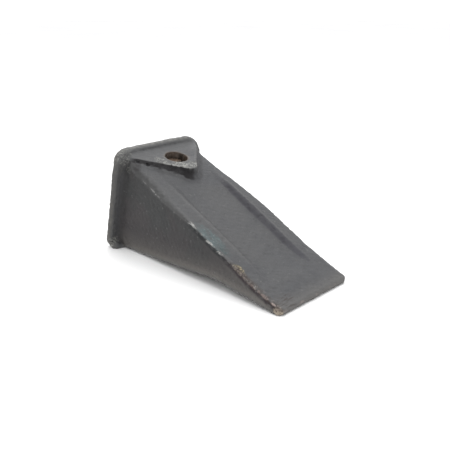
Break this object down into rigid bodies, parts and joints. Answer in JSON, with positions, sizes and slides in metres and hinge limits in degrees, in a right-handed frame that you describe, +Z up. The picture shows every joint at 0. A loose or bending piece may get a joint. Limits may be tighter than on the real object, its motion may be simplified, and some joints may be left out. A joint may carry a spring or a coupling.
{
  "type": "bucket tooth",
  "caption": "Cast wedge tooth with a flanged square socket at the rear, a triangular ear and an upright flex pin through it.",
  "frame": {"origin": "on the ground under the middle of the tooth as it lies on its underside, touching with the lower rim of its flange and its tip", "axes": "+Z up from the ground; +X forward, level with the ground, towards the tip; the tooth's own centre line points 13.39 degrees below +X, and its pin leans forward from +Z by the same angle; the tooth is alike on both sides of the XZ plane"},
  "size_m": [0.1694, 0.0836, 0.0791],
  "materials": {
    "cast_steel": "as-cast, dark grey scale with chipped and rusty edges",
    "pin_steel": "dark steel with brown rust",
    "pin_rubber": "matt black rubber"
  },
  "bodies": {
    "tooth": {"tooth_casting": "cast_steel"},
    "pin": {"pin_rear_half": "pin_steel", "pin_rubber_core": "pin_rubber"},
    "pin_front": {"pin_front_half": "pin_steel"}
  },
  "joints": [
    {"name": "pin_drive", "type": "slide", "parent": "tooth", "child": "pin", "axis": [0.2316, 0, 0.9728], "range_m": [0, 0.072]},
    {"name": "pin_squeeze", "type": "slide", "parent": "pin", "child": "pin_front", "axis": [-0.9728, 0, 0.2316], "range_m": [0, 0.0012], "stiffness_N_per_m": 20000, "deforming": ["pin_rubber_core"]}
  ]
}
